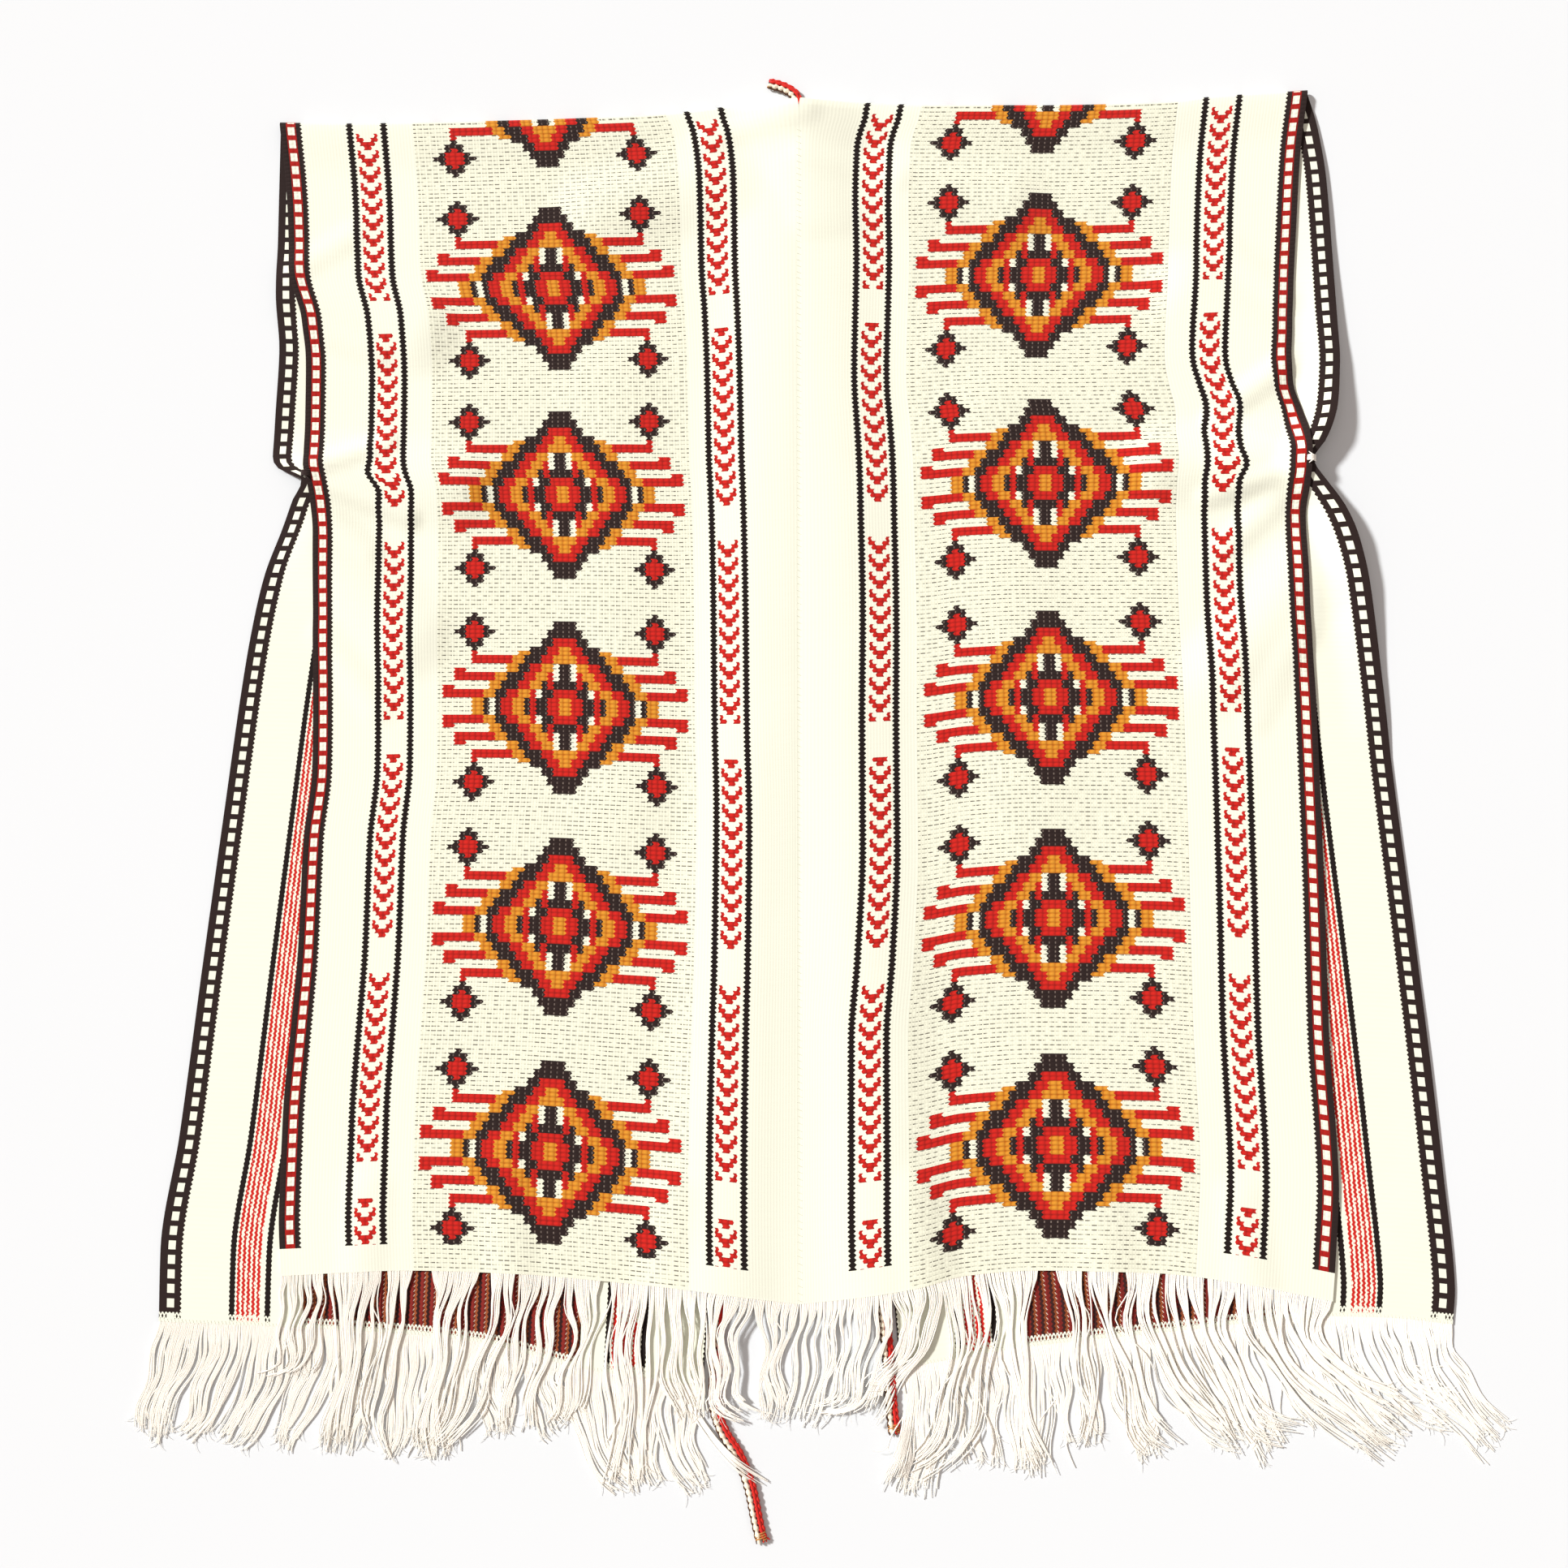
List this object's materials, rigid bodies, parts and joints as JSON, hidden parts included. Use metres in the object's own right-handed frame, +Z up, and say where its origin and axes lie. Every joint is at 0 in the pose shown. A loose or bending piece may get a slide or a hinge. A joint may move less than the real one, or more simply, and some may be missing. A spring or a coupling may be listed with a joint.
{
  "type": "open-front poncho cape",
  "caption": "Open-front poncho cape of long brocade strips sewn down the middle of the back, with laddered borders, fringed hems, underarm tacks and braided neck ties, laid flat.",
  "frame": {"origin": "on the floor, under the middle of the cape's outline without its ties", "axes": "+Z up out of the laid cloth, whose back faces up; +Y from the hems to the shoulders; +X to the strip on the right as it lies"},
  "size_m": [1.035, 1.1621, 0.0119],
  "materials": {
    "brocade": "matt woven cotton and wool, ivory with dark brown, red and ochre pattern",
    "fringe_yarn": "matt ivory yarn, softly twisted",
    "braid": "matt braided yarn in red, dark brown, ivory and gold"
  },
  "bodies": {
    "root": {"left_strip": "brocade", "right_strip": "brocade", "fringe_back_left": "fringe_yarn", "fringe_back_right": "fringe_yarn", "fringe_front_left": "fringe_yarn", "fringe_front_right": "fringe_yarn", "side_tack_left": "fringe_yarn", "side_tack_right": "fringe_yarn", "tie_left": "braid", "tie_right": "braid"}
  },
  "joints": []
}
